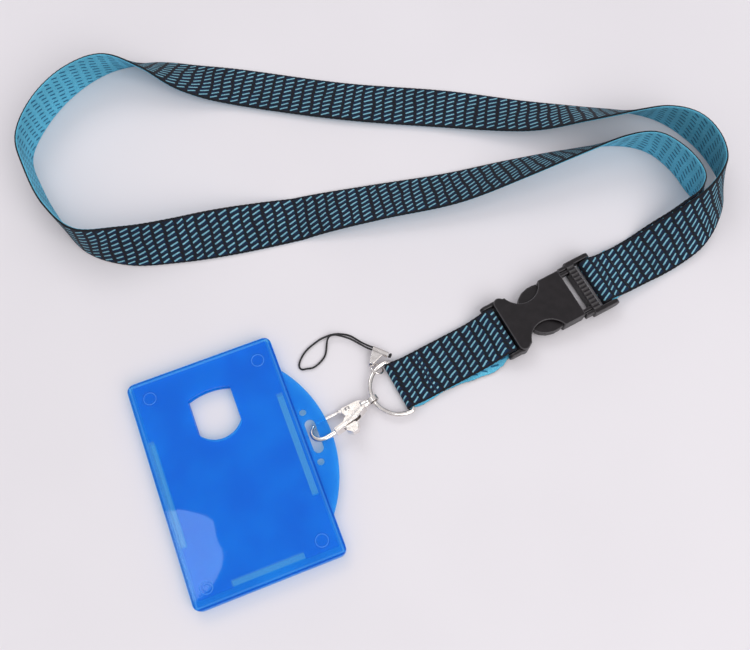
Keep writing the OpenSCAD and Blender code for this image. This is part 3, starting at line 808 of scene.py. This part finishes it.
def holder_marks():
    """Low rings that the mould's pins leave on the holder's front."""
    c, s = math.cos(HOLDER_TURN), math.sin(HOLDER_TURN)
    tubes = []
    for (x, y), radius in [(m, MARK_RADIUS) for m in EJECTOR_MARKS + [ROUND_MARK]] + [
        (ROUND_MARK, MARK_RADIUS / 2)
    ]:
        path = []
        for k in range(48):
            a = 2 * math.pi * k / 48
            u, v = x + radius * math.cos(a), y + radius * math.sin(a)
            path.append(MIDDLE + HOLDER + Vector((u * c - v * s, u * s + v * c, MARK_HEIGHT)))
        tubes.append(tube(path, 0.16, 10, closed=True))
    return join_tubes("holder_marks", tubes)


def area_light(name, at, aim, size, power, colour):
    data = bpy.data.lights.new(name, "AREA")
    data.shape = "RECTANGLE"
    data.size, data.size_y = size
    data.energy = power
    data.color = colour
    lamp = bpy.data.objects.new(name, data)
    lamp.location = at
    lamp.rotation_euler = (Vector(aim) - Vector(at)).to_track_quat("-Z", "Y").to_euler()
    bpy.context.scene.collection.objects.link(lamp)
    return lamp


def add_sky():
    """Soft light from all round, weaker towards the horizon."""
    world = bpy.data.worlds.new("studio")
    world.use_nodes = True
    nodes, links = world.node_tree.nodes, world.node_tree.links
    where = nodes.new("ShaderNodeTexCoord")
    parts = nodes.new("ShaderNodeSeparateXYZ")
    rise = nodes.new("ShaderNodeMapRange")
    for end, (height, brightness) in (("Min", SKY_LOW), ("Max", SKY_HIGH)):
        rise.inputs["From " + end].default_value = height
        rise.inputs["To " + end].default_value = brightness
    links.new(where.outputs["Generated"], parts.inputs[0])
    links.new(parts.outputs["Z"], rise.inputs["Value"])
    links.new(rise.outputs[0], nodes["Background"].inputs[1])
    nodes["Background"].inputs[0].default_value = SKY_COLOUR
    bpy.context.scene.world = world


add_camera()

# webbing
neck_strap, neck_frames = webbing("neck_webbing", neck_rings())
tail_strap, tail_frames = webbing("tail_webbing", tail_rings())

NECK_SEAM_AT = along_at(neck_frames, on_buckle(NECK_SEAM, 0, 3.2), 14, 60)
TAIL_SEAM_AT = along_at(tail_frames, on_buckle(TAIL_SEAM, 0, 1.9), 16, 60)
give(neck_strap, webbing_look("neck_webbing_look", NECK_SEAM_AT, False))
give(tail_strap, webbing_look("tail_webbing_look", TAIL_SEAM_AT, True))
thread = thread_look("thread_look", (0.020, 0.024, 0.035), 0.5, 0.55)
neck_thread = stitches("neck_thread", neck_frames, NECK_SEAM_AT)
tail_thread = stitches("tail_thread", tail_frames, TAIL_SEAM_AT)
for piece, body, node in (
    (neck_strap, "neck", "neck_strap"),
    (tail_strap, "tail", "tail_strap"),
    (neck_thread, "neck", "neck_strap_stitching"),
    (tail_thread, "tail", "tail_strap_stitching"),
):
    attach(piece, body)
    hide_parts(node)
for piece in (neck_thread, tail_thread):
    give(piece, thread)

# phone loop
cord_points = catmull([MIDDLE + Vector(p) for p in CORD_ROUTE], 8)
cord_tube = tube(cord_points, CORD_THICK / 2, 16, twist=2.6, lobes=4, depth=0.10)
cord = join_tubes("phone_cord", [cord_tube])
knot_tube = tube(knot_path(), 0.36, 12, closed=True, twist=2.6, lobes=4, depth=0.12)
knot = join_tubes("phone_knot", [knot_tube])
braid = thread_look("cord_look", (0.016, 0.015, 0.017), 0.9, 0.5)
for piece, node in ((cord, "phone_loop_cord"), (knot, "phone_loop_knot")):
    give(piece, braid)
    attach(piece, "phone_loop")
    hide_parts(node)

# moulded and cast parts
plastic = plastic_look("plastic_look")
for name in ("buckle_plug", "buckle_socket", "latch_arm_left", "latch_arm_right"):
    give(NODES[name], plastic)
    soften(name, 0.18, 17)
nickel = nickel_look("nickel_look")
for name in ("d_ring", "phone_loop_link", "phone_loop_crimp", "clasp_swivel_eye",
             "clasp_body", "clasp_trigger", "clasp_trigger_pin", "clasp_spring"):
    give(NODES[name], nickel)
for name, voxel in (("phone_loop_crimp", 0.09), ("clasp_swivel_eye", 0.09),
                    ("clasp_body", 0.1), ("clasp_trigger", 0.1)):
    soften(name, voxel, 4)

for piece, node in ((rivet(), "clasp_trigger_pin"), (spine(), None), (coil(), "clasp_spring")):
    give(piece, nickel)
    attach(piece, "clasp")
    if node:
        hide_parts(node)

# card holder
holder = NODES["card_holder"]
give(holder, holder_look("holder_look"))
close_gaps(holder)
bevel = holder.modifiers.new("bevel", "BEVEL")
bevel.width = 0.3 * MM
bevel.segments = 3
bevel.limit_method = "ANGLE"
bevel.angle_limit = math.radians(40)
bevel.harden_normals = False

marks = holder_marks()
give(marks, holder.material_slots[0].material)
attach(marks, "card")

# floor and light
corners = ((-1, -1), (1, -1), (1, 1), (-1, 1))
floor = link_mesh(
    "floor", [Vector((x * FLOOR_HALF, y * FLOOR_HALF, -0.02)) for x, y in corners], [(0, 1, 2, 3)]
)
give(floor, floor_look("floor_look"))
for lamp in LAMPS:
    area_light(*lamp)
add_sky()
bpy.context.scene.view_settings.view_transform = "Standard"
